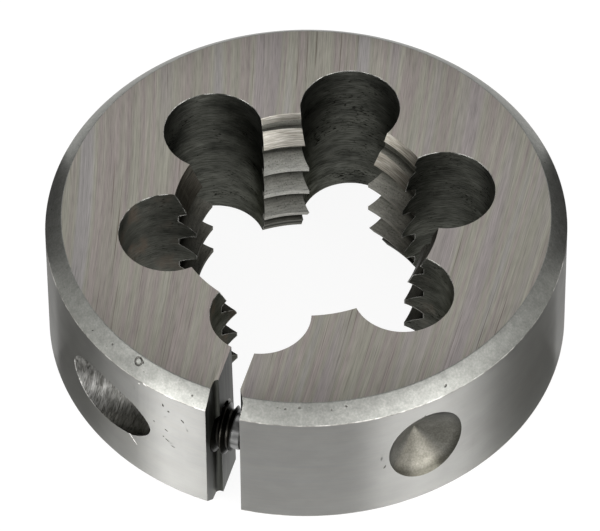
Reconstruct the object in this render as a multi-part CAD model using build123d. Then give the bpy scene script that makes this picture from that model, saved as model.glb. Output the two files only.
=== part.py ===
from build123d import *
from math import ceil, cos, radians, sin, tan
import os

# A round adjustable threading die: a hardened disc with six chip holes round an interrupted
# internal thread, split through one of the holes, and the small screw that sets the split.
# Millimetres. The thread's axis is Z, the back face stands on z = 0 and the split faces -Y.

# the blank
die_radius = 19.05
die_thickness = 12.7
rim_chamfer = 1.19

# the work thread, 10 turns to the inch on 19.05 mm, right-handed
thread_major_radius = 9.525
thread_pitch = 2.54
flank_angle = 30.0
crest_flat = 0.4
thread_height_share = 0.5413
first_crest_height = 2.3
land_share = 0.8
front_throat_radius = 9.75
front_throat_depth = 3.6
back_throat_radius = 9.8
back_throat_depth = 3.2

# the chip holes: each one's angle round from the split and its distance from the middle
chip_hole_radius = 3.67
chip_hole_places = (
    (0, 10.15),
    (61.5, 10.35),
    (120.9, 10.37),
    (181.2, 10.69),
    (239.3, 10.48),
    (299.3, 10.14),
)
land_count = len(chip_hole_places)

# the split, sawn a little askew and leaning, and the wider notch at its mouth
slot_width = 1.75
slot_skew = 2.5
slot_lean = 0.9
notch_screw_side = 1.13
notch_far_side = 1.45
notch_depth = 2.15
notch_corner_radius = 0.3
notch_slope_width = 0.7
notch_slope_length = 1.25

# the adjusting screw, 3.8 mm with a plain point, and the hole it is tapped into
screw_radius = 1.9
screw_length = 6.35
screw_setback = 2.82
screw_height = 6.6
screw_end_chamfer = 0.35
screw_point_radius = 1.33
screw_point_length = 0.72
screw_point_chamfer = 0.15
driver_slot_width = 0.6
driver_slot_depth = 0.9
screw_fit_clearance = 0.05
screw_tip_gap = 0.05
screw_hole_countersink = 0.25
tapped_length = 4.95

# the side holes in the rim: the driver's way in to the screw, and the locating dimple
access_radius = 2.34
access_taper_length = 1.6
dimple_angle = 45.9
dimple_height = 6.8
dimple_mouth_radius = 3.22
dimple_half_angle = 45.0

# how far a cutter runs past a face, so that no skin is left
overcut = 1.0

# what follows from them
thread_minor_radius = thread_major_radius - thread_height_share * thread_pitch
cutter_height = die_thickness + 2 * overcut
screw_line = die_radius - screw_setback
screw_plane = Plane(origin=(0, -screw_line, screw_height), x_dir=(1, 0, 0), z_dir=(0, -1, 0))
screw_axis = Axis((0, -screw_line, screw_height), (1, 0, 0))
screw_hole_radius = screw_radius + screw_fit_clearance
slot_middle_at_screw = (die_thickness - screw_height) * tan(radians(slot_lean))
slot_near_wall = slot_middle_at_screw - slot_width / 2
slot_far_wall = slot_middle_at_screw + slot_width / 2


def disc_blank():
    """The turned disc: a chamfered rim, a plain bore and a throat cone at each face."""
    with BuildSketch(Plane.XZ) as section:
        with BuildLine():
            Polyline(
                (thread_minor_radius, back_throat_depth),
                (back_throat_radius, 0),
                (die_radius - rim_chamfer, 0),
                (die_radius, rim_chamfer),
                (die_radius, die_thickness - rim_chamfer),
                (die_radius - rim_chamfer, die_thickness),
                (front_throat_radius, die_thickness),
                (thread_minor_radius, die_thickness - front_throat_depth),
                close=True,
            )
        make_face()
    return revolve(section.sketch, Axis.Z)


def thread_space():
    """One space between two threads, as long as a land, centred on +X at the first crest's height."""
    flank_slope = tan(radians(flank_angle))
    crest_half = (thread_pitch - crest_flat) / 2
    root_half = crest_half - (thread_major_radius - thread_minor_radius) * flank_slope
    inner_radius = thread_minor_radius - crest_flat / 2
    mouth_half = crest_half + (thread_minor_radius - inner_radius) * flank_slope
    space_angle = 360 / land_count * land_share
    rise = thread_pitch * space_angle / 360
    with BuildSketch(Plane.XZ) as section:
        with BuildLine():
            Polyline(
                (inner_radius, -mouth_half),
                (thread_major_radius, -root_half),
                (thread_major_radius, root_half),
                (inner_radius, mouth_half),
                close=True,
            )
        make_face()
    space = sweep(section.sketch, path=Helix(thread_pitch, rise, thread_major_radius), is_frenet=True)
    return Pos(0, 0, first_crest_height - rise / 2) * Rot(0, 0, -space_angle / 2) * space


def thread_spaces():
    """Every land's spaces, each land's set turned and raised along the helix."""
    space = thread_space()
    turns = ceil(die_thickness / thread_pitch) + 1
    spaces = []
    for land in range(land_count):
        share = (land + 0.5) / land_count
        land_angle = 360 * share - 90
        land_rise = thread_pitch * (share - 0.25)
        for turn in range(-2, turns):
            height = land_rise + thread_pitch * (turn + 0.5)
            spaces.append(Pos(0, 0, height) * Rot(0, 0, land_angle) * space)
    return spaces


def chip_holes():
    """Straight holes that break into the bore and leave the lands between them."""
    with BuildSketch(Plane.XY.offset(-overcut)) as circles:
        for angle, distance in chip_hole_places:
            with PolarLocations(distance, 1, start_angle=angle - 90):
                Circle(chip_hole_radius)
    return extrude(circles.sketch, cutter_height)


def split():
    """The saw cut from the first chip hole out through the rim, true to size at the front face."""
    first_hole = chip_hole_places[0][1]
    cut_length = die_radius + overcut - first_hole
    cut_middle = first_hole + cut_length / 2
    cutter = Box(slot_width, cut_length, 2 * cutter_height)
    cutter = Pos(0, screw_line - cut_middle, 0) * cutter
    return Pos(0, -screw_line, die_thickness) * Rot(0, -slot_lean, slot_skew) * cutter


def notch():
    """The wider mouth of the split: a square corner on the screw's side, a slope on the other."""
    floor_y = notch_depth - die_radius
    mouth_y = -die_radius - overcut
    slope_x = notch_far_side - notch_slope_width
    with BuildSketch(Plane.XY.offset(-overcut)) as outline:
        with BuildLine():
            Polyline(
                (-notch_screw_side, mouth_y),
                (-notch_screw_side, floor_y),
                (slope_x, floor_y),
                (notch_far_side, floor_y - notch_slope_length),
                (notch_far_side, mouth_y),
                close=True,
            )
        make_face()
        corner = outline.vertices().sort_by_distance((-notch_screw_side, floor_y, -overcut))[0]
        fillet(corner, notch_corner_radius)
    return extrude(outline.sketch, cutter_height)


def turned_on_screw_axis(outline):
    """A solid turned about the screw's axis; the outline gives places along X and radii."""
    with BuildSketch(screw_plane) as section:
        with BuildLine():
            Polyline(*outline, close=True)
        make_face()
    return revolve(section.sketch, screw_axis)


def screw_way():
    """The stepped hole: a driver's way in from the rim, a taper and the screw's own hole."""
    hole_start = slot_near_wall - tapped_length
    taper_start = hole_start - access_taper_length
    countersink_radius = screw_hole_radius + screw_hole_countersink
    return turned_on_screw_axis(
        [
            (-die_radius, 0),
            (-die_radius, access_radius),
            (taper_start, access_radius),
            (hole_start, screw_hole_radius),
            (slot_near_wall - screw_hole_countersink, screw_hole_radius),
            (slot_near_wall, countersink_radius),
            (slot_middle_at_screw, countersink_radius),
            (slot_middle_at_screw, 0),
        ]
    )


def dimple():
    """The conical seat for the screw that holds the die in its stock."""
    depth = dimple_mouth_radius / tan(radians(dimple_half_angle))
    direction = Vector(sin(radians(dimple_angle)), -cos(radians(dimple_angle)), 0)
    apex = direction * (die_radius - depth) + Vector(0, 0, dimple_height)
    cone_height = depth + overcut
    mouth = cone_height * tan(radians(dimple_half_angle))
    cone = Cone(0, mouth, cone_height, align=(Align.CENTER, Align.CENTER, Align.MIN))
    return Plane(origin=apex, z_dir=direction) * cone


def die_body():
    body = disc_blank() - chip_holes()
    body -= thread_spaces()
    body -= split()
    body -= notch()
    body -= screw_way()
    body -= dimple()
    return body


def adjusting_screw():
    """The screw at rest: its point just short of the split's far wall, its slotted end in the hole."""
    wall_slope = tan(radians(slot_skew)) + tan(radians(slot_lean))
    tip = slot_far_wall - screw_tip_gap - screw_point_radius * wall_slope
    shoulder = tip - screw_point_length
    head = tip - screw_length
    screw = turned_on_screw_axis(
        [
            (head, 0),
            (head, screw_radius - screw_end_chamfer),
            (head + screw_end_chamfer, screw_radius),
            (shoulder - screw_end_chamfer, screw_radius),
            (shoulder, screw_radius - screw_end_chamfer),
            (shoulder, screw_point_radius),
            (tip - screw_point_chamfer, screw_point_radius),
            (tip, screw_point_radius - screw_point_chamfer),
            (tip, 0),
        ]
    )
    driver_slot = Box(2 * driver_slot_depth, 4 * screw_radius, driver_slot_width)
    return screw - Pos(head, -screw_line, screw_height) * driver_slot


os.makedirs("parts", exist_ok=True)
export_step(die_body(), "parts/die_body.step")
export_step(adjusting_screw(), "parts/adjusting_screw.step")
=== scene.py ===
from random import Random
from math import atan2, cos, degrees, pi, radians, sin, sqrt, tan

import bpy
from mathutils import Matrix, Vector


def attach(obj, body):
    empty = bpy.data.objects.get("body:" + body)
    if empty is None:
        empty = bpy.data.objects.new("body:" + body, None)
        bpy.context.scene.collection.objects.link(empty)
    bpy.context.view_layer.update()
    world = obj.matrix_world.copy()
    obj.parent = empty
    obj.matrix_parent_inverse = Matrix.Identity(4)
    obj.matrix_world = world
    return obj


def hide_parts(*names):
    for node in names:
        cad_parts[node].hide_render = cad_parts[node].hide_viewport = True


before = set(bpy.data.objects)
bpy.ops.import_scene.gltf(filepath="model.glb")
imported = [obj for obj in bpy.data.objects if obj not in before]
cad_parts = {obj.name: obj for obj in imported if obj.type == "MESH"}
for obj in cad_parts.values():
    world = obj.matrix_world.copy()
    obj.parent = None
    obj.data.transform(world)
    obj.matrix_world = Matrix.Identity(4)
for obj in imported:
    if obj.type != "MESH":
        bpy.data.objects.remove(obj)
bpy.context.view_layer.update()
mm = 0.001
cutGap = 0.0006         # mm; corners nearer than this would spoil the next cut
meshGap = 0.003         # mm; slivers narrower than this could fold flat when split into triangles
print("frame loaded:", sorted(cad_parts))


# ---- working helpers

def pickOnly(piece):
    # an operator works on all that is selected, so only this piece is
    bpy.ops.object.select_all(action="DESELECT")
    piece.select_set(True)
    bpy.context.view_layer.objects.active = piece


def selectParts(piece, kind, test):
    # leaves the piece in edit mode with only the parts that pass the test selected
    bpy.ops.object.mode_set(mode="EDIT")
    bpy.ops.mesh.select_mode(type=kind)
    bpy.ops.mesh.select_all(action="DESELECT")
    bpy.ops.object.mode_set(mode="OBJECT")
    parts = {"VERT": piece.data.vertices, "FACE": piece.data.polygons}[kind]
    for part in parts:
        part.select = test(part)
    bpy.ops.object.mode_set(mode="EDIT")


def drawOutline(name, points, closed=False):
    # a chain of edges, drawn by extruding one corner of a plane from point to point, in mm
    first = Vector(points[0])
    bpy.ops.object.select_all(action="DESELECT")
    bpy.ops.mesh.primitive_plane_add(size=2 * mm, location=(0, 0, 0))
    piece = bpy.context.active_object
    piece.name = name
    selectParts(piece, "VERT", lambda corner: corner.index > 0)
    bpy.ops.mesh.delete(type="VERT")
    bpy.ops.mesh.select_all(action="SELECT")
    start = Vector((-mm, -mm, 0))
    bpy.ops.transform.translate(value=first * mm - start)
    for here, there in zip(points, points[1:]):
        step = (Vector(there) - Vector(here)) * mm
        bpy.ops.mesh.extrude_region_move(TRANSFORM_OT_translate={"value": step})
    if closed:
        bpy.ops.object.mode_set(mode="OBJECT")
        last = len(points) - 1
        selectParts(piece, "VERT", lambda corner: corner.index in (0, last))
        bpy.ops.mesh.edge_face_add()
    return piece


def spinOutline(steps, center=(0, 0, 0), axis=(0, 0, 1)):
    # turns the outline that is being edited once round the axis and closes its seam and poles
    bpy.ops.mesh.select_all(action="SELECT")
    bpy.ops.mesh.spin(steps=steps, angle=2 * pi, center=Vector(center) * mm, axis=axis)
    bpy.ops.mesh.select_all(action="SELECT")
    bpy.ops.mesh.remove_doubles(threshold=0.0002 * mm)
    bpy.ops.mesh.normals_make_consistent(inside=False)
    bpy.ops.object.mode_set(mode="OBJECT")


def giveMaterial(piece, *materials):
    for material in materials:
        piece.data.materials.append(material)


def makeTurned(name, points, steps, material, center=(0, 0, 0), axis=(0, 0, 1)):
    # a solid turned about the axis from its outline
    piece = drawOutline(name, points)
    spinOutline(steps, center, axis)
    giveMaterial(piece, material)
    return piece


def makeHelix(name, points, axis, pitch, turns, steps, ends, material):
    # a threaded rod from the outline of one pitch, cut off square at both ends, in mm
    piece = drawOutline(name, points)
    bpy.ops.object.mode_set(mode="OBJECT")
    pickOnly(piece)
    bpy.ops.object.modifier_add(type="SCREW")
    turn = piece.modifiers[-1]
    turn.axis = axis
    turn.angle = 2 * pi
    turn.screw_offset = pitch * mm
    turn.iterations = turns
    turn.steps = turn.render_steps = steps
    bpy.ops.object.modifier_apply(modifier=turn.name)
    # each turn's last edge lies on the next one's first, so merging makes one helical skin
    pickOnly(piece)
    bpy.ops.object.mode_set(mode="EDIT")
    bpy.ops.mesh.select_all(action="SELECT")
    bpy.ops.mesh.remove_doubles(threshold=0.002 * mm)
    along = Vector([float(letter == axis) for letter in "XYZ"])
    for end, side in zip(ends, ("clear_inner", "clear_outer")):
        bpy.ops.mesh.select_all(action="SELECT")
        bpy.ops.mesh.bisect(plane_co=along * end * mm, plane_no=along, use_fill=True,
                            threshold=0.0001 * mm, **{side: True})
    bpy.ops.mesh.select_all(action="SELECT")
    bpy.ops.mesh.normals_make_consistent(inside=False)
    bpy.ops.object.mode_set(mode="OBJECT")
    giveMaterial(piece, material)
    return piece


def paintFaces(piece, slotIndex, test):
    pickOnly(piece)
    selectParts(piece, "FACE", test)
    piece.active_material_index = slotIndex
    bpy.ops.object.material_slot_assign()
    bpy.ops.object.mode_set(mode="OBJECT")


def carve(piece, tool, operation="DIFFERENCE"):
    # cuts the tool out of the piece; the cut faces keep the tool's own material
    pickOnly(piece)
    bpy.ops.object.modifier_add(type="BOOLEAN")
    cut = piece.modifiers[-1]
    cut.object = tool
    cut.operation = operation
    cut.solver = "EXACT"
    cut.material_mode = "TRANSFER"
    bpy.ops.object.modifier_apply(modifier=cut.name)
    pickOnly(tool)
    bpy.ops.object.delete()
    weld(piece, cutGap)


def weld(piece, gap):
    # merges the corners that cuts leave a hair apart, nearer than the gap in mm
    pickOnly(piece)
    bpy.ops.object.mode_set(mode="EDIT")
    bpy.ops.mesh.select_all(action="SELECT")
    bpy.ops.mesh.remove_doubles(threshold=gap * mm)
    bpy.ops.mesh.dissolve_degenerate(threshold=gap * mm)
    bpy.ops.object.mode_set(mode="OBJECT")


# ---- working helpers for the materials

def hexColor(code):
    # an sRGB colour as it looks on screen, turned to the linear values that the shader wants
    channels = [int(code[place:place + 2], 16) / 255 for place in (1, 3, 5)]
    linear = [c / 12.92 if c <= 0.04045 else ((c + 0.055) / 1.055) ** 2.4 for c in channels]
    return (*linear, 1.0)


def addNode(tree, kind, settings=None, links=None):
    # adds a node and gives its outputs; settings are its own choices or, failing that, values of
    # its inputs, and stops are the places and colours of a ramp, which starts with two of its own
    node = tree.nodes.new("ShaderNode" + kind)
    for name, value in (settings or {}).items():
        if name == "stops":
            marks = node.color_ramp.elements
            while len(marks) < len(value):
                marks.new(0.5)
            for mark, (place, color) in zip(marks, value):
                mark.position, mark.color = place, hexColor(color)
        elif isinstance(name, str) and hasattr(node, name):
            setattr(node, name, value)
        else:
            node.inputs[name].default_value = value
    for name, source in (links or {}).items():
        tree.links.new(source, node.inputs[name])
    return node.outputs


def startMaterial(name, roughness, metallic=1.0):
    material = bpy.data.materials.new(name)
    material.use_nodes = True
    tree = material.node_tree
    shader = tree.nodes["Principled BSDF"]
    shader.inputs["Metallic"].default_value = metallic
    shader.inputs["Roughness"].default_value = roughness
    place = addNode(tree, "TexCoord")["Object"]
    return material, tree, shader, place


def drawGrain(tree, place, sizes, detail=2.0, seed=0.0, blur=0.5, twist=0.0):
    # a pattern whose grains are as long along X, Y and Z as the sizes in mm say; the seed picks
    # another place in it
    scale = tuple(1 / (size * mm) for size in sizes)
    moved = addNode(tree, "Mapping",
            {"Scale": scale, "Location": (seed, seed * 1.7, seed * 0.6)}, {"Vector": place})
    noise = addNode(tree, "TexNoise",
            {"Scale": 1.0, "Detail": detail, "Roughness": blur, "Distortion": twist},
            {"Vector": moved["Vector"]})
    return noise["Fac"]


def tintBy(tree, color, layers):
    # darkens the colour by one layer after another, as stain and grime do
    for layer in layers:
        color = addNode(tree, "Mix", {"data_type": "RGBA", "blend_type": "MULTIPLY", 0: 1.0},
                {6: color, 7: layer})[2]
    return color


def finishSurface(tree, shader, color, heights):
    # gives the surface its colour and its relief, one height over another with its depth in mm
    tree.links.new(color, shader.inputs["Base Color"])
    below = {}
    for source, depth in heights:
        bump = addNode(tree, "Bump", {"Strength": 1.0, "Distance": depth * mm}, {"Height": source, **below})
        below = {"Normal": bump["Normal"]}
    tree.links.new(below["Normal"], shader.inputs["Normal"])


def addEdgeWearAndHighlight(tree, shader, place, color, width, bare):
    # sharp edges lose their skin first, and the pale line along them is also a painted highlight: as wide
    # as given in mm, broken here and there
    worn = addNode(tree, "Bevel", {"Radius": width * mm})
    flat = addNode(tree, "NewGeometry")
    turned = addNode(tree, "VectorMath", {"operation": "DOT_PRODUCT"},
            {0: worn["Normal"], 1: flat["Normal"]})
    line = addNode(tree, "ValToRGB", {"stops": [(0.90, "#ffffff"), (0.98, "#000000")]},
            {"Fac": turned["Value"]})["Color"]
    broken = addNode(tree, "ValToRGB", {"stops": [(0.40, "#000000"), (0.56, "#ffffff")]},
            {"Fac": drawGrain(tree, place, (0.9, 0.9, 0.9), detail=3.0, seed=15.0)})["Color"]
    share = addNode(tree, "Math", {"operation": "MULTIPLY"}, {0: line, 1: broken})
    dull = addNode(tree, "Math", {"operation": "MULTIPLY_ADD", 1: -0.6, 2: 1.0}, {0: share[0]})
    tree.links.new(dull[0], shader.inputs["Metallic"])
    return addNode(tree, "Mix", {"data_type": "RGBA", 7: hexColor(bare)}, {0: share[0], 6: color})[2]


# ---- the steels, one material for each way that a surface was made

grindMarks = {
    "turn": 19.2,           # degrees round from -Y, the line that the lean is measured from
    "lean": 8.4,            # degrees, at the middle of the face
    "bend": 0.40,           # degrees more for each mm nearer the split
    "fan": 0.34,            # degrees more for each mm to the right
    "lineWidth": 0.080,     # mm
    "lineLength": 11.0,
    "bandWidth": 0.50,
    "depth": 0.0008,
}


def groundFaceSteel():
    # tool steel, surface ground after hardening: long fine lines that bow a little, warm grey
    # with brownish and greenish streaks, and a sheen that spreads across the lines
    material, tree, shader, place = startMaterial("toolSteelSurfaceGround", 0.40)
    marks = grindMarks
    turned = addNode(tree, "VectorRotate",
            {"rotation_type": "Z_AXIS", "Angle": radians(-marks["turn"])}, {"Vector": place})
    axes = addNode(tree, "SeparateXYZ", links={"Vector": turned["Vector"]})
    x, y = axes["X"], axes["Y"]
    bend = radians(marks["bend"]) / mm
    fan = radians(marks["fan"]) / mm
    # across = x - y * (tan(lean) - bend / 2 * y + fan * x), so the lines bow and fan as the marks do
    bowed = addNode(tree, "Math",
            {"operation": "MULTIPLY_ADD", 1: -bend / 2, 2: tan(radians(marks["lean"]))}, {0: y})
    fanned = addNode(tree, "Math", {"operation": "MULTIPLY_ADD", 1: fan}, {0: x, 2: bowed[0]})
    shifted = addNode(tree, "Math", {"operation": "MULTIPLY"}, {0: y, 1: fanned[0]})
    across = addNode(tree, "Math", {"operation": "SUBTRACT"}, {0: x, 1: shifted[0]})
    lines = addNode(tree, "CombineXYZ", links={"X": across[0], "Y": y})
    field = lines["Vector"]
    fine = drawGrain(tree, field, (marks["lineWidth"], marks["lineLength"], 50), detail=2.0)
    broad = drawGrain(tree, field, (marks["bandWidth"], 30, 50), detail=3.0, seed=7.3)
    tint = drawGrain(tree, field, (1.9, 60, 50), detail=1.0, seed=3.1)
    sparse = drawGrain(tree, field, (0.15, 14, 50), detail=2.0, seed=21.4)
    grit = drawGrain(tree, field, (0.06, 1.4, 50), detail=2.0, seed=13.7)
    base = addNode(tree, "ValToRGB",
            {"stops": [(0.34, "#a8a19f"), (0.44, "#a8a69a"), (0.52, "#a69d99"), (0.60, "#a7a599"),
            (0.68, "#aaa6a4")]}, {"Fac": tint})["Color"]
    shade = addNode(tree, "ValToRGB", {"stops": [(0.30, "#e2e2e2"), (0.55, "#f4f4f4"), (0.75, "#ffffff")]},
            {"Fac": fine})["Color"]
    bands = addNode(tree, "ValToRGB", {"stops": [(0.30, "#eeeeee"), (0.70, "#ffffff")]},
            {"Fac": broad})["Color"]
    deep = addNode(tree, "ValToRGB", {"stops": [(0.27, "#c6c0ba"), (0.35, "#ffffff")]},
            {"Fac": sparse})["Color"]
    gritty = addNode(tree, "ValToRGB", {"stops": [(0.32, "#e4e4e4"), (0.50, "#f6f6f6"), (0.70, "#ffffff")]},
            {"Fac": grit})["Color"]
    shader.inputs["Anisotropic"].default_value = 0.75
    sheenLine = radians(marks["turn"] - marks["lean"])
    sheen = addNode(tree, "CombineXYZ", {"X": cos(sheenLine), "Y": sin(sheenLine), "Z": 0.0})
    tree.links.new(sheen["Vector"], shader.inputs["Tangent"])
    mixed = tintBy(tree, base, (shade, bands, deep, gritty))
    finishSurface(tree, shader, mixed, [(fine, marks["depth"]), (broad, marks["depth"])])
    return material


def groundRimSteel():
    # the same steel, ground between centres: almost smooth, with hair lines round the rim
    material, tree, shader, place = startMaterial("toolSteelCylindricallyGround", 0.5)
    rings = drawGrain(tree, place, (14, 14, 0.10), detail=2.0)
    cloud = drawGrain(tree, place, (2.4, 2.4, 1.4), detail=3.0, seed=5.0)
    shade = addNode(tree, "ValToRGB", {"stops": [(0.3, "#9e9e9c"), (0.7, "#a2a19d")]},
            {"Fac": rings})["Color"]
    haze = addNode(tree, "ValToRGB", {"stops": [(0.35, "#f6f6f6"), (0.65, "#ffffff")]},
            {"Fac": cloud})["Color"]
    shader.inputs["Anisotropic"].default_value = 1.0
    sheen = addNode(tree, "CombineXYZ", {"X": 0.0, "Y": 0.0, "Z": 1.0})
    tree.links.new(sheen["Vector"], shader.inputs["Tangent"])
    finishSurface(tree, shader, tintBy(tree, shade, [haze]), [(rings, 0.00012)])
    return material


def chamferSteel():
    # turned before hardening and then tumbled: a satin band with fine bright and dark specks
    material, tree, shader, place = startMaterial("toolSteelTurnedAndTumbled", 0.48)
    grain = drawGrain(tree, place, (0.16, 0.16, 0.16), detail=3.0, blur=0.6)
    patch = drawGrain(tree, place, (0.7, 0.7, 0.7), detail=4.0, seed=2.0, blur=0.6)
    speck = drawGrain(tree, place, (0.30, 0.30, 0.22), detail=1.0, seed=5.5)
    shade = addNode(tree, "ValToRGB", {"stops": [(0.30, "#8b8b87"), (0.50, "#959691"), (0.68, "#a09f9a")]},
            {"Fac": grain})["Color"]
    worn = addNode(tree, "ValToRGB", {"stops": [(0.35, "#e9e9e9"), (0.65, "#ffffff")]},
            {"Fac": patch})["Color"]
    pitted = addNode(tree, "ValToRGB", {"stops": [(0.17, "#77766f"), (0.24, "#ffffff")]},
            {"Fac": speck})["Color"]
    finishSurface(tree, shader, tintBy(tree, shade, (worn, pitted)), [(grain, 0.005), (patch, 0.010)])
    return material


def scaleSteel():
    # drilled before hardening; the black scale of the furnace is still on it, over drill rings
    material, tree, shader, place = startMaterial("toolSteelDrilledWithScale", 0.42)
    shader.inputs["Specular Tint"].default_value = hexColor("#9c9c9a")
    rings = drawGrain(tree, place, (0.9, 0.9, 0.07), detail=3.0, blur=0.6)
    cloud = drawGrain(tree, place, (2.4, 2.4, 1.2), detail=3.0, seed=4.0)
    field = drawGrain(tree, place, (3.0, 3.0, 2.0), detail=1.0, seed=6.6)
    torn = drawGrain(tree, place, (0.32, 0.32, 0.11), detail=3.0, seed=8.2, blur=0.6)
    shade = addNode(tree, "ValToRGB", {"stops": [(0.32, "#454642"), (0.68, "#686963")]},
            {"Fac": cloud})["Color"]
    marks = addNode(tree, "ValToRGB", {"stops": [(0.36, "#a8a8a6"), (0.50, "#dededc"), (0.66, "#ffffff")]},
            {"Fac": rings})["Color"]
    # pits crowd together in places
    often = addNode(tree, "Math", {"operation": "MULTIPLY_ADD", 1: -0.55, 2: 0.27}, {0: field})
    deep = addNode(tree, "Math", {"operation": "ADD"}, {0: torn, 1: often[0]})
    holes = addNode(tree, "ValToRGB", {"stops": [(0.27, "#5c5c59"), (0.37, "#ffffff")]},
            {"Fac": deep[0]})["Color"]
    mixed = tintBy(tree, shade, (marks, holes))
    # nearer the split the scale is thin and has browned in patches
    axes = addNode(tree, "SeparateXYZ", links={"Vector": place})
    nearer = addNode(tree, "MapRange", {"From Min": 5.0 * mm, "From Max": -4.0 * mm}, {"Value": axes["Y"]})
    stain = drawGrain(tree, place, (1.5, 1.5, 2.2), detail=3.0, seed=12.3)
    stained = addNode(tree, "ValToRGB", {"stops": [(0.44, "#6c6c6c"), (0.66, "#b4b4b4")]},
            {"Fac": stain})["Color"]
    browned = addNode(tree, "ValToRGB", {"stops": [(0.50, "#73736d"), (0.66, "#7b6f64")]},
            {"Fac": stain})["Color"]
    share = addNode(tree, "Math", {"operation": "MULTIPLY"}, {0: nearer["Result"], 1: stained})
    mixed = addNode(tree, "Mix", {"data_type": "RGBA"}, {0: share[0], 6: mixed, 7: browned})[2]
    mixed = addEdgeWearAndHighlight(tree, shader, place, mixed, 0.15, "#d8d7d2")
    finishSurface(tree, shader, mixed, [(rings, 0.012), (torn, 0.02)])
    return material


def paintShadeNearSplit(tree, place, color):
    # painted shade: the lands nearer the split are darkened, and the far ones are left light
    along = addNode(tree, "VectorMath", {"operation": "DOT_PRODUCT", 1: (-0.4, 0.917, 0)}, {0: place})
    share = addNode(tree, "MapRange", {"From Min": 3.0 * mm, "From Max": 8.5 * mm},
            {"Value": along["Value"]})
    nearSplitShade = addNode(tree, "ValToRGB",
            {"stops": [(0.0, "#7c7b78"), (0.20, "#8a8884"), (0.68, "#dddcd9"), (0.9, "#ffffff")]},
            {"Fac": share["Result"]})["Color"]
    return tintBy(tree, color, [nearSplitShade])


def threadSteel():
    # tapped and hardened: matt grey flanks with torn specks, and painted shade that darkens them towards
    # the roots
    material, tree, shader, place = startMaterial("toolSteelTapped", 0.5)
    rings = drawGrain(tree, place, (0.8, 0.8, 0.07), detail=3.0)
    grain = drawGrain(tree, place, (0.12, 0.12, 0.08), detail=3.0, seed=9.0, blur=0.6)
    shader.inputs["Specular Tint"].default_value = hexColor("#a0a0a0")
    shade = addNode(tree, "ValToRGB", {"stops": [(0.32, "#a8a8a3"), (0.68, "#cccbc5")]},
            {"Fac": rings})["Color"]
    specks = addNode(tree, "ValToRGB", {"stops": [(0.28, "#8f8f8b"), (0.42, "#ededeb"), (0.70, "#ffffff")]},
            {"Fac": grain})["Color"]
    # painted shade under each crest, darkest just short of the root flat
    flat = addNode(tree, "Mapping", {"Scale": (1, 1, 0)}, {"Vector": place})
    reach = addNode(tree, "VectorMath", {"operation": "LENGTH"}, {0: flat["Vector"]})
    share = addNode(tree, "MapRange", {"From Min": 8.1 * mm, "From Max": 9.6 * mm},
            {"Value": reach["Value"]})
    paintedShade = addNode(tree, "ValToRGB",
            {"stops": [(0.0, "#ffffff"), (0.40, "#ececea"), (0.68, "#c2c2bf"), (0.84, "#6e6e6b"),
            (0.92, "#63635f"), (0.95, "#b4b4b0")]}, {"Fac": share["Result"]})["Color"]
    mixed = tintBy(tree, shade, (specks, paintedShade))
    # painted shade also darkens the lands nearer the split
    finishSurface(tree, shader, paintShadeNearSplit(tree, place, mixed), [(rings, 0.006), (grain, 0.008)])
    return material


def throatSteel():
    # the lead-in cone, ground last: bright warm steel with coarse streaks along the cut
    material, tree, shader, place = startMaterial("toolSteelThroatGround", 0.36)
    rings = drawGrain(tree, place, (1.3, 1.3, 0.07), detail=4.0, blur=0.65)
    shade = addNode(tree, "ValToRGB", {"stops": [(0.32, "#8d887e"), (0.46, "#b6b1a6"), (0.66, "#dedad2")]},
            {"Fac": rings})["Color"]
    shader.inputs["Specular Tint"].default_value = hexColor("#a0a0a0")
    # painted shade darkens the cone on the lands nearer the split
    finishSurface(tree, shader, paintShadeNearSplit(tree, place, shade), [(rings, 0.010)])
    return material


def sawnSteel():
    # the split, sawn before hardening and dark with scale, with upright saw bands
    material, tree, shader, place = startMaterial("toolSteelSawnWithScale", 0.45)
    bands = drawGrain(tree, place, (0.35, 0.35, 9.0), detail=3.0)
    shade = addNode(tree, "ValToRGB", {"stops": [(0.30, "#3a3b37"), (0.55, "#4b4c47"), (0.75, "#63635d")]},
            {"Fac": bands})["Color"]
    finishSurface(tree, shader, shade, [(bands, 0.01)])
    return material


def boredSteel():
    # the driver's way in, drilled fast: coarse rings from the feed, bright where they face up
    material, tree, shader, place = startMaterial("toolSteelDrilledCoarse", 0.30)
    rings = drawGrain(tree, place, (0.16, 0.8, 0.8), detail=4.0, blur=0.6, twist=0.9)
    fine = drawGrain(tree, place, (0.08, 0.4, 0.4), detail=2.0, seed=6.0, twist=0.6)
    shade = addNode(tree, "ValToRGB", {"stops": [(0.34, "#64635f"), (0.52, "#a8a7a4"), (0.68, "#cbcac7")]},
            {"Fac": rings})["Color"]
    # painted shade: the bore is painted darker deeper in, towards the screw's hole
    axes = addNode(tree, "SeparateXYZ", links={"Vector": place})
    inward = addNode(tree, "MapRange", {"From Min": -11.3 * mm, "From Max": -8.2 * mm},
            {"Value": axes["X"]})
    paintedShade = addNode(tree, "ValToRGB", {"stops": [(0.0, "#ffffff"), (0.5, "#e0e0de"), (1.0, "#c8c8c5")]},
            {"Fac": inward["Result"]})["Color"]
    finishSurface(tree, shader, tintBy(tree, shade, [paintedShade]), [(rings, 0.03), (fine, 0.010)])
    return material


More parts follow.
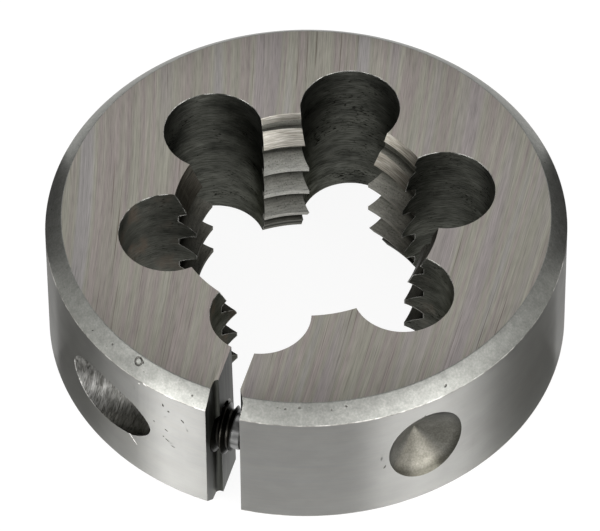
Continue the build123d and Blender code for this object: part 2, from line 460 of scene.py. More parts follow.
def dimpleSteel():
    # the cone for the stock's screw, countersunk: tool rings round it draw the light out into a
    # wedge that runs in to the point
    material, tree, shader, place = startMaterial("toolSteelCountersunk", 0.28)
    grain = drawGrain(tree, place, (0.14, 0.14, 0.14), detail=3.0, seed=3.0, blur=0.6)
    mottle = drawGrain(tree, place, (0.9, 0.9, 0.9), detail=3.0)
    turn = radians(dimple["angle"])
    deep = blank["radius"] - dimple["mouthRadius"] / tan(radians(dimple["halfAngle"]))
    apex = (deep * sin(turn) * mm, -deep * cos(turn) * mm, dimple["height"] * mm)
    outward = addNode(tree, "VectorMath", {"operation": "SUBTRACT", 1: apex}, {0: place})
    # painted highlight and shade: the lower side, where the wedge of light runs, is painted light and the
    # others darker
    facing = addNode(tree, "VectorMath", {"operation": "NORMALIZE"}, {0: outward["Vector"]})
    lower = addNode(tree, "VectorMath", {"operation": "DOT_PRODUCT", 1: (-0.168, -0.174, -0.970)},
            {0: facing["Vector"]})
    side = addNode(tree, "MapRange", {"From Min": 0.86, "From Max": 0.10}, {"Value": lower["Value"]})
    mixed = addNode(tree, "ValToRGB",
            {"stops": [(0.0, "#a6a399"), (0.22, "#9c998f"), (0.45, "#7c7b75"), (0.72, "#6a6963")]},
            {"Fac": side["Result"]})["Color"]
    length = addNode(tree, "VectorMath", {"operation": "LENGTH"}, {0: outward["Vector"]})
    rimward = addNode(tree, "MapRange", {"From Min": 4.1 * mm, "From Max": 2.2 * mm},
            {"Value": length["Value"]})
    for source, dark in ((grain, "#d6d5d2"), (mottle, "#e6e6e4"), (rimward["Result"], "#a2a29f")):
        layer = addNode(tree, "ValToRGB", {"stops": [(0.34, dark), (0.66, "#ffffff")]},
                {"Fac": source})["Color"]
        mixed = tintBy(tree, mixed, [layer])
    shader.inputs["Anisotropic"].default_value = 0.88
    tree.links.new(outward["Vector"], shader.inputs["Tangent"])
    finishSurface(tree, shader, mixed, [(grain, 0.006)])
    return material


def wornSteel():
    # an edge that stones and hands have rubbed: broken into short pale and dark lengths
    material, tree, shader, place = startMaterial("toolSteelRubbedEdge", 0.45)
    grain = drawGrain(tree, place, (1.1, 1.1, 1.1), detail=4.0, blur=0.65)
    shade = addNode(tree, "ValToRGB", {"stops": [(0.36, "#82817d"), (0.50, "#a5a39e"), (0.64, "#d6d4cf")]},
            {"Fac": grain})["Color"]
    finishSurface(tree, shader, shade, [(grain, 0.01)])
    return material


def pittedSteel():
    # the floor of a dent or pit, dull with what has settled in it
    material, tree, shader, place = startMaterial("toolSteelPitted", 0.55)
    grain = drawGrain(tree, place, (0.1, 0.1, 0.1), detail=2.0)
    shade = addNode(tree, "ValToRGB", {"stops": [(0.30, "#52514d"), (0.70, "#83827d")]},
            {"Fac": grain})["Color"]
    finishSurface(tree, shader, shade, [(grain, 0.004)])
    return material


def brightSteel():
    # torn bright steel where something has scraped: rough and clean, so it scatters light and
    # shows pale from every side
    material, tree, shader, place = startMaterial("toolSteelScraped", 0.45, 0.35)
    grain = drawGrain(tree, place, (0.2, 0.2, 0.2), detail=2.0)
    shade = addNode(tree, "ValToRGB", {"stops": [(0.30, "#cfcdc9"), (0.70, "#f1efeb")]},
            {"Fac": grain})["Color"]
    finishSurface(tree, shader, shade, [(grain, 0.006)])
    return material


def blackOxideSteel():
    # the screw's alloy steel with a black oxide bath: near black, glints only along the crests
    material, tree, shader, place = startMaterial("alloySteelBlackOxide", 0.33)
    grain = drawGrain(tree, place, (0.15, 0.15, 0.15), detail=3.0)
    shade = addNode(tree, "ValToRGB", {"stops": [(0.30, "#23221f"), (0.70, "#3a3834")]},
            {"Fac": grain})["Color"]
    finishSurface(tree, shader, shade, [(grain, 0.004)])
    return material


def turnedPointSteel():
    # the screw's plain point, turned bright: rings round it and nothing over the steel
    material, tree, shader, place = startMaterial("alloySteelTurned", 0.30)
    rings = drawGrain(tree, place, (0.09, 2.0, 2.0), detail=2.0)
    stain = drawGrain(tree, place, (1.5, 0.35, 0.35), detail=2.0, seed=1.0)
    shade = addNode(tree, "ValToRGB", {"stops": [(0.35, "#5e5e5d"), (0.65, "#8c8c8b")]},
            {"Fac": stain})["Color"]
    finishSurface(tree, shader, shade, [(rings, 0.0008)])
    return material


groundFace, groundRim, chamfer = groundFaceSteel(), groundRimSteel(), chamferSteel()
scale, tapped, throat = scaleSteel(), threadSteel(), throatSteel()
sawn, bored = sawnSteel(), boredSteel()
bareEdge, wornEdge, pitted = brightSteel(), wornSteel(), pittedSteel()
blackOxide, turnedPoint = blackOxideSteel(), turnedPointSteel()
print("materials made:", len(bpy.data.materials))


# ---- the die body: a turned blank, then one cutter for each job done on it, sizes in mm

blank = {
    "radius": 19.05,
    "thickness": 12.7,
    "rimChamfer": 1.19,
    "startBore": 5.0,       # opened up by the tap later
    "edgeBreak": 0.05,      # what the stone leaves on a sharp edge
    "steps": 288,
    "past": 1.0,            # how far cutters run past a face
    "smooth": 24,           # degrees; a sharper edge stays sharp to the light
}


def makeBlank():
    b = blank
    low, high = 0, b["thickness"]
    outer, inner, cut = b["radius"], b["startBore"], b["rimChamfer"]
    corners = [(inner, 0, low), (outer - cut, 0, low), (outer, 0, low + cut),
               (outer, 0, high - cut), (outer - cut, 0, high), (inner, 0, high)]
    piece = drawOutline("dieBody", corners, closed=True)
    selectParts(piece, "VERT", lambda corner: corner.co.x > (inner + 1) * mm)
    bpy.ops.mesh.bevel(offset=b["edgeBreak"] * mm, segments=2, affect="VERTICES")
    spinOutline(b["steps"])
    giveMaterial(piece, groundFace, groundRim, chamfer, wornEdge)
    # the broken edges are worn; then the faces, the rim and the chamfers get their own finish
    paintFaces(piece, 3, lambda face: True)
    paintFaces(piece, 0, lambda face: abs(face.normal.z) > 0.999)
    paintFaces(piece, 1, lambda face: abs(face.normal.z) < 0.001)
    paintFaces(piece, 2, lambda face: 0.705 < abs(face.normal.z) < 0.998)
    return piece


workThread = {
    "majorRadius": 9.525,
    "pitch": 2.54,
    "flank": 30.0,          # degrees
    "crestFlat": 0.4,
    "height": 0.5413 * 2.54,
    "firstCrest": 2.3,
    "turnsBelow": 3,
    "turns": 9,
    "endBelow": 2.1,        # how far the tap reaches past the back face, and past the front one
    "endAbove": 2.3,
    "steps": 160,
}


def makeTap():
    # a plain bolt of the thread's own section, so that taking it away leaves the thread
    t = workThread
    outer, inner, pitch = t["majorRadius"], t["majorRadius"] - t["height"], t["pitch"]
    slope = t["height"] * tan(radians(t["flank"]))
    half = t["crestFlat"] / 2
    start = t["firstCrest"] - t["turnsBelow"] * pitch
    end = start + pitch
    points = [(inner, 0, start), (inner, 0, start + half), (outer, 0, start + half + slope),
              (outer, 0, end - half - slope), (inner, 0, end - half), (inner, 0, end)]
    ends = (-t["endBelow"], blank["thickness"] + t["endAbove"])
    return makeHelix("tap", points, "Z", pitch, t["turns"], t["steps"], ends, tapped)


throats = {
    "frontRadius": 9.75, "frontDepth": 3.6,
    "backRadius": 9.8, "backDepth": 3.2,
    "steps": 160,
}


def makeThroatCone(name, radius, depth, face, way, material):
    # a cone that opens towards a face; way is 1 for the front and -1 for the back
    t = workThread
    inner = t["majorRadius"] - t["height"]
    slope = (radius - inner) / depth
    past = blank["past"]
    deep = depth + past
    points = [(0, 0, face + way * past), (radius + past * slope, 0, face + way * past),
              (radius - deep * slope, 0, face - way * deep), (0, 0, face - way * deep)]
    return makeTurned(name, points, throats["steps"], material)


chipHoles = {
    "radius": 3.67,
    # each one's angle round from the split, and its distance from the middle
    "places": [(0, 10.15), (61.5, 10.35), (120.9, 10.37),
               (181.2, 10.69), (239.3, 10.48), (299.3, 10.14)],
    "edgeBreak": 0.025,
    "aside": 0.013,         # radians of turn, so that no corner of a drill falls on one of the blank's
    "steps": 112,
}


def makeChipDrill():
    # a straight drill with the broken edge of each face built in
    c = chipHoles
    r, e, high, past = c["radius"], c["edgeBreak"], blank["thickness"], blank["past"]
    points = [(0, 0, -past), (r + e + past, 0, -past), (r, 0, e),
              (r, 0, high - e), (r + e + past, 0, high + past), (0, 0, high + past)]
    return makeTurned("chipDrill", points, c["steps"], scale)


def drillChipHoles(body):
    c = chipHoles
    drill = makeChipDrill()
    for turned, distance in c["places"]:
        angle = radians(turned - 90)
        pickOnly(drill)
        bpy.ops.object.duplicate()
        copy = bpy.context.active_object
        copy.location = (distance * cos(angle) * mm, distance * sin(angle) * mm, 0)
        copy.rotation_euler = (0, 0, angle + c["aside"])
        bpy.ops.object.transform_apply()
        carve(body, copy)
    pickOnly(drill)
    bpy.ops.object.delete()


splitCut = {
    "width": 1.75,
    "skew": 2.5,            # degrees, sawn a little askew
    "lean": 0.9,            # degrees, and leaning
    "screwLine": 16.23,     # where its width is true to size
    "notchScrewSide": 1.13,
    "notchFarSide": 1.45,
    "notchDepth": 2.15,
    "notchCorner": 0.3,
    "cornerSteps": 6,
    "slopeWidth": 0.7,
    "slopeLength": 1.25,
}


def makeSaw():
    s, past = splitCut, blank["past"]
    inner, outer = chipHoles["places"][0][1], blank["radius"] + past
    tall = 2 * (blank["thickness"] + 2 * past)
    bpy.ops.object.select_all(action="DESELECT")
    bpy.ops.mesh.primitive_cube_add(size=mm, location=(0, 0, 0), scale=(s["width"], outer - inner, tall))
    piece = bpy.context.active_object
    piece.name = "saw"
    piece.location = (0, (s["screwLine"] - (inner + outer) / 2) * mm, 0)
    bpy.ops.object.transform_apply()
    piece.rotation_euler = (0, radians(-s["lean"]), radians(s["skew"]))
    piece.location = (0, -s["screwLine"] * mm, blank["thickness"] * mm)
    bpy.ops.object.transform_apply()
    giveMaterial(piece, sawn)
    return piece


def makeNotchCutter():
    s, b = splitCut, blank
    floor = s["notchDepth"] - b["radius"]
    mouth, low = -b["radius"] - b["past"], -b["past"]
    points = [(-s["notchScrewSide"], mouth, low), (-s["notchScrewSide"], floor, low),
              (s["notchFarSide"] - s["slopeWidth"], floor, low),
              (s["notchFarSide"], floor - s["slopeLength"], low), (s["notchFarSide"], mouth, low)]
    piece = drawOutline("notchCutter", points, closed=True)
    corner = Vector(points[1]) * mm
    selectParts(piece, "VERT", lambda spot: (spot.co - corner).length < 0.01 * mm)
    bpy.ops.mesh.bevel(offset=s["notchCorner"] * mm, segments=s["cornerSteps"], affect="VERTICES")
    bpy.ops.mesh.select_all(action="SELECT")
    bpy.ops.mesh.edge_face_add()
    tall = (b["thickness"] + 2 * b["past"]) * mm
    bpy.ops.mesh.extrude_region_move(TRANSFORM_OT_translate={"value": (0, 0, tall)})
    bpy.ops.mesh.select_all(action="SELECT")
    bpy.ops.mesh.normals_make_consistent(inside=False)
    bpy.ops.object.mode_set(mode="OBJECT")
    giveMaterial(piece, sawn)
    return piece


screwWay = {
    "height": 6.6,
    "holeRadius": 1.95,
    "countersink": 0.25,
    "tappedLength": 4.95,
    "accessRadius": 2.34,
    "accessTaper": 1.6,
    "feedRidge": 0.045,     # the drill was fed fast and left ridges this high, this far apart
    "feedPitch": 0.27,
    "feedStart": 0.4,       # and the first one this far in
    "feedSeed": 5,
    "steps": 96,
}
accessLip = {
    "line": 0.10,           # mm outside the hole, where the rubbed line ends
    "lineCore": 0.05,       # and where it is at its full tone
    "below": (0.35, 0.05),  # from how far above the middle it grows, in mm
    "inward": (0.0, 1.3),   # and from how far towards the axis
    "marks": 14,            # rubbed lengths, from the first angle down round the lower side
    "firstAngle": 4.0,      # degrees
    "angleStep": 5.2,
    "lift": 0.03,           # mm that they lie outside the hole
    "width": 0.08,          # the widest, in mm; the others are down to a seventh of it
    "seed": 11,
}


def rubLipAndPaintHighlight(material):
    # the driver's blade has rubbed the lower lip of its way in, and the thin pale line there is also a
    # painted highlight along that edge
    w, rubbed = screwWay, accessLip
    tree = material.node_tree
    shader, place = tree.nodes["Principled BSDF"], tree.nodes["Texture Coordinate"].outputs["Object"]
    ground = shader.inputs["Base Color"].links[0].from_socket
    middle = (0, -splitCut["screwLine"] * mm, w["height"] * mm)
    offset = addNode(tree, "VectorMath", {"operation": "SUBTRACT", 1: middle}, {0: place})
    across = addNode(tree, "VectorMath", {"operation": "MULTIPLY", 1: (0, 1, 1)}, {0: offset["Vector"]})
    apart = addNode(tree, "VectorMath", {"operation": "LENGTH"}, {0: across["Vector"]})
    axes = addNode(tree, "SeparateXYZ", links={"Vector": offset["Vector"]})
    share = addNode(tree, "ValToRGB", {"stops": [(0.34, "#606060"), (0.52, "#ffffff")]},
            {"Fac": drawGrain(tree, place, (0.5, 0.5, 0.5), detail=3.0, seed=17.0)})["Color"]
    onLine = (w["accessRadius"] + rubbed["line"], w["accessRadius"] + rubbed["lineCore"])
    reaches = [(apart["Value"], onLine), (axes["Z"], rubbed["below"]),
               (axes["Y"], rubbed["inward"])]
    for value, (first, last) in reaches:
        part = addNode(tree, "MapRange", {"From Min": first * mm, "From Max": last * mm}, {"Value": value})
        share = addNode(tree, "Math", {"operation": "MULTIPLY"}, {0: share, 1: part["Result"]})[0]
    # only on the screw's side, not where the same circle meets the far side of the rim
    here = addNode(tree, "Math", {"operation": "LESS_THAN", 1: -5 * mm}, {0: axes["X"]})
    share = addNode(tree, "Math", {"operation": "MULTIPLY"}, {0: share, 1: here[0]})[0]
    pale = addNode(tree, "Mix", {"data_type": "RGBA", 7: hexColor("#f4f3ee")}, {0: share, 6: ground})
    tree.links.new(pale[2], shader.inputs["Base Color"])
    dull = addNode(tree, "Math", {"operation": "MULTIPLY_ADD", 1: -0.7, 2: 1.0}, {0: share})
    tree.links.new(dull[0], shader.inputs["Metallic"])


def makeStepDrill():
    # the way in from the rim, the taper and the screw's own hole, in one turned cutter
    w = screwWay
    middle = (blank["thickness"] - w["height"]) * tan(radians(splitCut["lean"]))
    wall = middle - splitCut["width"] / 2
    hole = wall - w["tappedLength"]
    y, z = -splitCut["screwLine"], w["height"]
    wide = w["holeRadius"] + w["countersink"]
    mouth, bottom = -blank["radius"], hole - w["accessTaper"]
    uneven = Random(w["feedSeed"])
    ridges, here = [], mouth + w["feedStart"]
    while here < bottom:
        ridges.append((here, w["accessRadius"] - uneven.uniform(0.3, 1) * w["feedRidge"]))
        here += w["feedPitch"] * uneven.uniform(0.25, 0.75)
        ridges.append((min(here, bottom), w["accessRadius"] - uneven.uniform(0, 0.2) * w["feedRidge"]))
        here += w["feedPitch"] * uneven.uniform(0.25, 0.75)
    radii = [(mouth, 0), (mouth, w["accessRadius"]), *ridges, (hole, w["holeRadius"]),
             (wall - w["countersink"], w["holeRadius"]), (wall, wide), (middle, wide), (middle, 0)]
    points = [(x, y, z + r) for x, r in radii]
    return makeTurned("stepDrill", points, w["steps"], bored, center=(0, y, z), axis=(1, 0, 0))


dimple = {
    "angle": 45.9,          # degrees from the split, towards +X
    "height": 6.8,
    "mouthRadius": 3.32,
    "halfAngle": 59.0,      # a drill's point
    "steps": 96,
}
countersunk = dimpleSteel()


def makeCountersink():
    d = dimple
    depth = d["mouthRadius"] / tan(radians(d["halfAngle"]))
    reach = depth + blank["past"]
    points = [(0, 0, 0), (reach * tan(radians(d["halfAngle"])), 0, reach), (0, 0, reach)]
    piece = makeTurned("countersink", points, d["steps"], countersunk)
    pickOnly(piece)
    way = radians(d["angle"])
    apex = blank["radius"] - depth
    piece.rotation_euler = (radians(90), 0, way)
    piece.location = (apex * sin(way) * mm, -apex * cos(way) * mm, d["height"] * mm)
    bpy.ops.object.transform_apply()
    return piece


# knocks and pits: degrees round from the split, height, half sizes along the rim, up and in,
# and lean in degrees
rimPits = [
    (-13.8, 10.25, 0.08, 0.17, 0.06, 10), (-12.4, 9.83, 0.10, 0.09, 0.06, 0),
    (-13.3, 9.05, 0.09, 0.08, 0.06, 0), (-8.9, 9.40, 0.08, 0.20, 0.06, 35),
    (-7.8, 8.55, 0.10, 0.09, 0.06, 0), (-13.1, 7.55, 0.16, 0.06, 0.05, -25),
    (-13.9, 6.70, 0.07, 0.07, 0.05, 0), (-12.9, 6.46, 0.19, 0.055, 0.05, -30),
    (-11.9, 6.30, 0.20, 0.05, 0.05, 5), (-11.5, 6.02, 0.17, 0.05, 0.05, -10),
    (-16.3, 7.89, 0.06, 0.06, 0.05, 0), (45.4, 10.12, 0.08, 0.12, 0.05, 0),
    (35.3, 6.80, 0.07, 0.24, 0.05, -12), (36.0, 5.80, 0.06, 0.20, 0.05, -25),
    (58.0, 4.1, 0.10, 0.045, 0.05, 20),
]
rimScratches = [
    (-22.6, 4.35, 0.66, 0.06, 0.06, -47), (-18.5, 11.45, 0.20, 0.07, 0.06, -20),
    (-21.6, 10.45, 0.18, 0.05, 0.05, -60), (-40.6, 5.05, 0.18, 0.06, 0.06, -60),
    (-20.1, 11.20, 0.10, 0.05, 0.05, 30), (-16.9, 11.62, 0.10, 0.05, 0.05, 0),
]
chamferPits = [
    (14.2, 12.35, 0.10, 0.07, 0.06, 0), (17.4, 12.45, 0.13, 0.08, 0.06, 20),
    (24.6, 12.30, 0.08, 0.07, 0.06, 0), (27.9, 12.40, 0.11, 0.07, 0.06, -15),
    (51.3, 11.95, 0.15, 0.08, 0.07, 30), (-21.2, 12.45, 0.07, 0.13, 0.06, 40),
    (-30.4, 12.20, 0.09, 0.07, 0.06, 0), (-7.2, 12.05, 0.08, 0.07, 0.06, 0),
]


def makeKnocks(name, marks, material, slope=0):
    # one small flattened ball for each mark, pressed into the rim or, with a slope, into the chamfer
    balls = []
    for angle, height, along, up, deep, lean in marks:
        bpy.ops.object.select_all(action="DESELECT")
        bpy.ops.mesh.primitive_ico_sphere_add(subdivisions=2, radius=mm, location=(0, 0, 0))
        ball = bpy.context.active_object
        radius = blank["radius"]
        if slope:
            radius += blank["thickness"] - blank["rimChamfer"] - height
        ball.scale = (along, up, deep)
        bpy.ops.object.transform_apply()
        turn = radians(angle)
        facing = Matrix.Rotation(turn, 4, "Z") @ Matrix.Rotation(radians(90 - slope), 4, "X")
        spot = Vector((sin(turn) * radius, -cos(turn) * radius, height)) * mm
        ball.matrix_world = Matrix.Translation(spot) @ facing @ Matrix.Rotation(radians(lean), 4, "Z")
        bpy.ops.object.transform_apply()
        balls.append(ball)
    for ball in balls:
        ball.select_set(True)
    bpy.ops.object.join()
    piece = bpy.context.active_object
    piece.name = name
    giveMaterial(piece, material)
    return piece


def lipMarksAndHighlight():
    # the same lip, rubbed bright and painted as a highlight along its lower side in lengths of uneven width
    rubbed, radius = accessLip, blank["radius"]
    reach = screwWay["accessRadius"] + rubbed["lift"]
    uneven = Random(rubbed["seed"])
    marks, spots = [], []
    for step in range(rubbed["marks"] + 1):
        turned = radians(rubbed["firstAngle"] - rubbed["angleStep"] * step)
        y = -splitCut["screwLine"] + reach * cos(turned)
        x = -sqrt(radius * radius - y * y)
        spots.append((atan2(x, -y), screwWay["height"] + reach * sin(turned)))
    for (angle, height), (nextAngle, nextHeight) in zip(spots, spots[1:]):
        along, up = (nextAngle - angle) * radius, nextHeight - height
        wide = uneven.uniform(0.15, 1) * rubbed["width"]
        long = sqrt(along * along + up * up) * uneven.uniform(0.3, 0.49)
        marks.append((degrees((angle + nextAngle) / 2), (height + nextHeight) / 2, long, wide, wide,
                      degrees(atan2(up, along))))
    return marks


ringDent = {
    "angle": -22.4,         # degrees round from the split
    "height": 12.36,
    "radius": 0.28,
    "depth": 0.085,
}


def makeRingDent():
    # something tubular was once knocked into the chamfer and left its ring
    d = ringDent
    bpy.ops.object.select_all(action="DESELECT")
    bpy.ops.mesh.primitive_torus_add(major_radius=d["radius"] * mm, minor_radius=d["depth"] * mm,
                                     major_segments=28, minor_segments=8, location=(0, 0, 0))
    piece = bpy.context.active_object
    piece.name = "ringDent"
    turn = radians(d["angle"])
    radius = blank["radius"] + blank["thickness"] - blank["rimChamfer"] - d["height"]
    spot = Vector((sin(turn) * radius, -cos(turn) * radius, d["height"])) * mm
    facing = Matrix.Rotation(turn, 4, "Z") @ Matrix.Rotation(radians(45), 4, "X")
    piece.matrix_world = Matrix.Translation(spot) @ facing
    bpy.ops.object.transform_apply()
    giveMaterial(piece, pitted)
    return piece


rubLipAndPaintHighlight(groundRim)
dieBody = makeBlank()
print("blank turned:", len(dieBody.data.polygons), "faces")
carve(dieBody, makeTap())
carve(dieBody, makeThroatCone("frontThroat", throats["frontRadius"], throats["frontDepth"],
                              blank["thickness"], 1, throat))
carve(dieBody, makeThroatCone("backThroat", throats["backRadius"], throats["backDepth"], 0, -1, tapped))
print("thread and throats cut:", len(dieBody.data.polygons), "faces")
drillChipHoles(dieBody)
print("chip holes drilled:", len(dieBody.data.polygons), "faces")
carve(dieBody, makeSaw())
carve(dieBody, makeNotchCutter())
carve(dieBody, makeStepDrill())
carve(dieBody, makeCountersink())
carve(dieBody, makeKnocks("rimPits", rimPits, pitted))
carve(dieBody, makeKnocks("rimScratches", rimScratches, bareEdge))
# pale marks along the lower lip: rubbing, and a painted highlight along that edge
carve(dieBody, makeKnocks("rubbedLipHighlight", lipMarksAndHighlight(), bareEdge))
carve(dieBody, makeKnocks("chamferPits", chamferPits, pitted, slope=45))
carve(dieBody, makeRingDent())
weld(dieBody, meshGap)
print("split, screw's way and dimple cut:", len(dieBody.data.polygons), "faces")
pickOnly(dieBody)
bpy.ops.object.shade_smooth_by_angle(angle=radians(blank["smooth"]))
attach(dieBody, "die")
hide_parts("die_body")
print("die body finished:", len(dieBody.data.polygons), "faces")


# ---- the adjusting screw, modelled along X at the origin and then moved to its hole

screw = {
    "radius": 1.9,
    "pitch": 0.7,
    "threadDepth": 0.42,
    "flank": 30.0,          # degrees
    "crestFlat": 0.09,
    "length": 6.35,
    "endChamfer": 0.35,
    "pointRadius": 1.33,
    "pointLength": 0.72,
    "pointChamfer": 0.15,
    "tip": 0.8418,          # where the point ends at rest, just short of the far wall
    "steps": 72,
    "driverWidth": 0.6,
    "driverDepth": 0.9,
    "rodBehind": 0.41,      # how far the rod reaches past each end before it is trimmed
    "rodAhead": 0.53,
    "trimPast": 0.02,       # how far the trimmer stands off the crests
    "trimRoll": 0.021,      # radians of turn, so that no edge of a turned cutter lies along one of
    "pointRoll": 0.034,     # the thread's
    "pointRoot": 0.3,       # how far the point is let into the thread
    "smooth": 28,           # degrees
}


def makeScrewThread():
    # a helical rod longer than the screw, trimmed to length by its own outline afterwards
    s = screw
    outer, inner, pitch = s["radius"], s["radius"] - s["threadDepth"], s["pitch"]
    slope = s["threadDepth"] * tan(radians(s["flank"]))
    half = s["crestFlat"] / 2
    start = -s["length"] - 2 * pitch
    end = start + pitch
    points = [(start, 0, outer), (start + half, 0, outer), (start + half + slope, 0, inner),
              (end - half - slope, 0, inner), (end - half, 0, outer), (end, 0, outer)]
    turns = int(s["length"] / pitch) + 4
    ends = (-s["length"] - s["rodBehind"], s["rodAhead"])
    return makeHelix("adjustingScrew", points, "X", pitch, turns, s["steps"], ends, blackOxide)


def rollAside(piece, angle):
    # a hair of a turn about X, in radians
    pickOnly(piece)
    piece.rotation_euler = (angle, 0, 0)
    bpy.ops.object.transform_apply()


def makeTrimmer():
    # the threaded length with both ends chamfered; what lies outside it is cut off
    s = screw
    head, shoulder = -s["length"], -s["pointLength"]
    low, high = s["radius"] - s["endChamfer"], s["radius"] + s["trimPast"]
    points = [(head, 0, 0), (head, 0, low), (head + s["endChamfer"], 0, high),
              (shoulder - s["endChamfer"], 0, high), (shoulder, 0, low), (shoulder, 0, 0)]
    piece = makeTurned("trimmer", points, s["steps"], blackOxide, axis=(1, 0, 0))
    rollAside(piece, s["trimRoll"])
    return piece


def makePoint():
    # the plain point, let a little into the threaded part
    s = screw
    r, c, back = s["pointRadius"], s["pointChamfer"], -s["pointLength"] - s["pointRoot"]
    points = [(back, 0, 0), (back, 0, r), (-c, 0, r), (-c / 3, 0, r - c / 3), (0, 0, r - c), (0, 0, 0)]
    piece = makeTurned("point", points, s["steps"], turnedPoint, axis=(1, 0, 0))
    rollAside(piece, s["pointRoll"])
    return piece


def makeDriverSlot():
    s = screw
    bpy.ops.object.select_all(action="DESELECT")
    bpy.ops.mesh.primitive_cube_add(size=mm, location=(-s["length"] * mm, 0, 0),
                                    scale=(2 * s["driverDepth"], 4 * s["radius"], s["driverWidth"]))
    piece = bpy.context.active_object
    bpy.ops.object.transform_apply()
    giveMaterial(piece, blackOxide)
    return piece


adjustingScrew = makeScrewThread()
carve(adjustingScrew, makeTrimmer(), "INTERSECT")
carve(adjustingScrew, makeDriverSlot())
carve(adjustingScrew, makePoint(), "UNION")
pickOnly(adjustingScrew)
adjustingScrew.location = (screw["tip"] * mm, -splitCut["screwLine"] * mm, screwWay["height"] * mm)
bpy.ops.object.transform_apply()
bpy.ops.object.shade_smooth_by_angle(angle=radians(screw["smooth"]))
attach(adjustingScrew, "screw")
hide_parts("adjusting_screw")
print("screw finished:", len(adjustingScrew.data.polygons), "faces")


# ---- floor, light and view

view = {
    "turn": 19.2,               # degrees from the row's -Y to the side that the view looks from
    "focalLength": 443.35,      # mm, on a sensor 36 mm wide
    "distance": 547.83,         # mm from the middle of the back face
    "elevation": 50.1853,       # degrees
    "pan": 0.00088362,          # radians, off that middle
    "tilt": 0.00799361,
    "roll": 0.00761214,
}

studio = {
    "floorRadius": 1.5,         # m
    "floorColor": "#6c6b6a",
    "floorGlow": 0.92,          # what the board shows to the eye and to metal before any lamp
    "worldColor": "#ffffff",
    "worldLevel": 0.35,
    # cards that stand beside bright metal: near and far radius, foot and top in mm, the first and
    # last degrees round from the view, the degrees over which they fade in, and their tone
    "cards": {
        "leftFlag": (19.6, 23.5, 0.1, 15.5, -37, -81.8, 9, "#b8b8b6"),
        "leftHighFlag": (19.6, 23.5, 10.5, 15.5, -84, -116, 0, "#202020"),
        "rightFlag": (19.6, 23.5, 0.1, 14.8, 32, 81, 20, "#b8b8b6"),
        "rightHighFlag": (19.6, 23.5, 10.5, 15.5, 83, 116, 0, "#202020"),
    },
    # degrees round from the view and up, distance and size in m, and radiance
    "boxes": {
        "leftBox": (-54, 18, 0.45, (0.34, 0.26), 7.2),
        "rightBox": (48, 20, 0.45, (0.40, 0.28), 5.2),
        "frontBox": (-3, 22, 0.50, (0.30, 0.30), 1.1),
        "backBox": (180, 49, 0.55, (0.50, 0.30), 0.93),
    },
}


def makeFloor():
    bpy.ops.object.select_all(action="DESELECT")
    bpy.ops.mesh.primitive_circle_add(vertices=96, radius=studio["floorRadius"], fill_type="NGON",
                                      location=(0, 0, 0))
    floor = bpy.context.active_object
    floor.name = "floor"
    material, tree, shader = startMaterial("whiteBoard", 0.9, 0.0)[:3]
    shader.inputs["Base Color"].default_value = hexColor(studio["floorColor"])
    shader.inputs["Specular IOR Level"].default_value = 0.0
    shader.inputs["Emission Color"].default_value = (1, 1, 1, 1)
    # white to the eye, in metal and through glass; the shadow still falls on the board
    path = addNode(tree, "LightPath")
    seen = path["Is Camera Ray"]
    for ray in ("Is Glossy Ray", "Is Transmission Ray"):
        seen = addNode(tree, "Math", {"operation": "MAXIMUM"}, {0: seen, 1: path[ray]})[0]
    glow = addNode(tree, "Math", {"operation": "MULTIPLY", 1: studio["floorGlow"]}, {0: seen})
    tree.links.new(glow[0], shader.inputs["Emission Strength"])
    giveMaterial(floor, material)


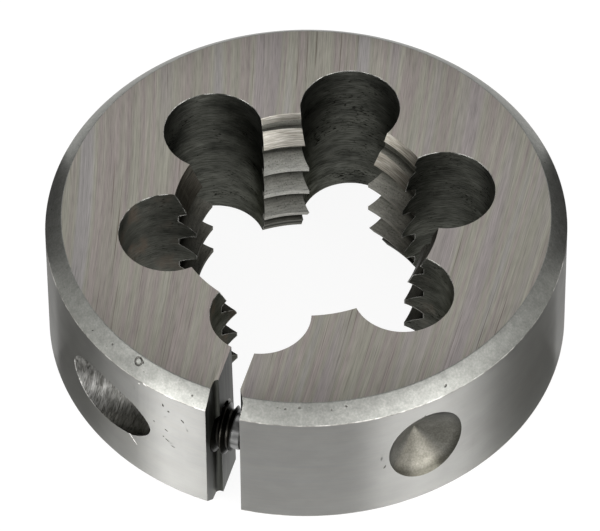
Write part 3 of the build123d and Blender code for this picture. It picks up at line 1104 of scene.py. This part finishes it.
def makeFlag(name, near, far, low, high, first, last, fade, tone):
    # a curved card that lies flat from the near radius and stands up at the far one; only gloss
    # shows it
    turn, end = radians(first + view["turn"]), radians(last + view["turn"])
    way = Vector((sin(turn), -cos(turn), 0))
    up = Vector((0, 0, 1))
    piece = drawOutline(name, [way * near + up * low, way * far + up * low, way * far + up * high])
    bpy.ops.mesh.select_all(action="SELECT")
    bpy.ops.mesh.spin(steps=24, angle=turn - end, center=(0, 0, 0), axis=(0, 0, 1))
    bpy.ops.object.mode_set(mode="OBJECT")
    material, tree, shader, place = startMaterial("greyCard", 0.9, 0.0)
    shader.inputs["Base Color"].default_value = hexColor(tone)
    if fade:
        axes = addNode(tree, "SeparateXYZ", links={"Vector": place})
        back = addNode(tree, "Math", {"operation": "MULTIPLY", 1: -1.0}, {0: axes["Y"]})
        around = addNode(tree, "Math", {"operation": "ARCTAN2"}, {0: axes["X"], 1: back[0]})
        full = turn + radians(fade if last > first else -fade)
        cover = addNode(tree, "MapRange", {"From Min": turn, "From Max": full}, {"Value": around[0]})
        tree.links.new(cover["Result"], shader.inputs["Alpha"])
    giveMaterial(piece, material)
    piece.visible_camera = piece.visible_diffuse = False
    piece.visible_shadow = piece.visible_transmission = False


def makeSoftBox(name, azimuth, elevation, distance, size, radiance):
    turn, up = radians(azimuth + view["turn"]), radians(elevation)
    spot = Vector((sin(turn) * cos(up), -cos(turn) * cos(up), sin(up))) * distance
    lamp = bpy.data.lights.new(name, "AREA")
    lamp.shape = "RECTANGLE"
    lamp.size, lamp.size_y = size
    lamp.energy = radiance * pi * size[0] * size[1]
    box = bpy.data.objects.new(name, lamp)
    bpy.context.scene.collection.objects.link(box)
    box.location = spot
    box.rotation_euler = (-spot).to_track_quat("-Z", "Y").to_euler()


def makeWorld():
    world = bpy.data.worlds.new("softRoom")
    world.use_nodes = True
    sky = world.node_tree.nodes["Background"]
    sky.inputs["Color"].default_value = hexColor(studio["worldColor"])
    sky.inputs["Strength"].default_value = studio["worldLevel"]
    bpy.context.scene.world = world


makeFloor()
makeWorld()
for name, card in studio["cards"].items():
    makeFlag(name, *card)
for name, box in studio["boxes"].items():
    makeSoftBox(name, *box)
print("floor, cards and lamps set up")

def makeCamera():
    v = view
    up = radians(v["elevation"])
    aim = (Matrix.Rotation(pi / 2 - up, 4, "X") @ Matrix.Rotation(v["pan"], 4, "Y")
           @ Matrix.Rotation(v["tilt"], 4, "X") @ Matrix.Rotation(-v["roll"], 4, "Z"))
    spot = Matrix.Translation(Vector((0, -cos(up), sin(up))) * v["distance"] * mm)
    lens = bpy.data.cameras.new("view")
    lens.sensor_width = 36
    lens.lens = v["focalLength"]
    lens.clip_start = 0.05
    lens.clip_end = 10
    camera = bpy.data.objects.new("view", lens)
    bpy.context.scene.collection.objects.link(camera)
    camera.matrix_world = Matrix.Rotation(radians(v["turn"]), 4, "Z") @ spot @ aim
    bpy.context.scene.camera = camera


makeCamera()
bpy.context.scene.view_settings.view_transform = "Standard"

bpy.context.view_layer.update()
